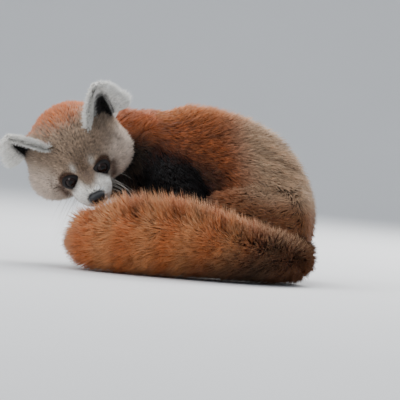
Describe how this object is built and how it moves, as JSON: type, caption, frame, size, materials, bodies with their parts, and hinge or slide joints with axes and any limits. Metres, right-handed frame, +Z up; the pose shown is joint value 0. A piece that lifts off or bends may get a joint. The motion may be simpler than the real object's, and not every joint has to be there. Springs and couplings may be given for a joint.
{
  "type": "red panda",
  "caption": "Life-size red panda resting hunched on its haunches, head turned over its left side and bushy ringed tail laid round its front.",
  "frame": {"origin": "on the floor, under the middle of the animal's bounding box", "axes": "+Z up; +X along the animal from its head to its rump; the animal's left side faces -Y"},
  "size_m": [0.4, 0.287, 0.2294],
  "materials": {
    "coat_russet": "dense russet fur",
    "coat_face": "short tan and white fur",
    "coat_dark": "dense black-brown fur",
    "coat_tail": "long orange fur with faint rings",
    "coat_ear": "white-rimmed fur",
    "nose_skin": "moist bare skin",
    "eye_glass": "wet gloss"
  },
  "bodies": {
    "root": {"head": "coat_face", "nose": "nose_skin", "eye_left": "eye_glass", "eye_right": "eye_glass", "ear_left": "coat_ear", "ear_right": "coat_ear", "neck": "coat_russet", "torso": "coat_russet", "foreleg_left": "coat_dark", "foreleg_right": "coat_dark", "forepaw_left": "coat_dark", "forepaw_right": "coat_dark", "hindleg_left": "coat_russet", "hindleg_right": "coat_russet", "hindpaw_left": "coat_dark", "hindpaw_right": "coat_dark", "tail_root": "coat_tail", "tail_base": "coat_tail", "tail_middle": "coat_tail", "tail_end": "coat_tail"}
  },
  "joints": []
}
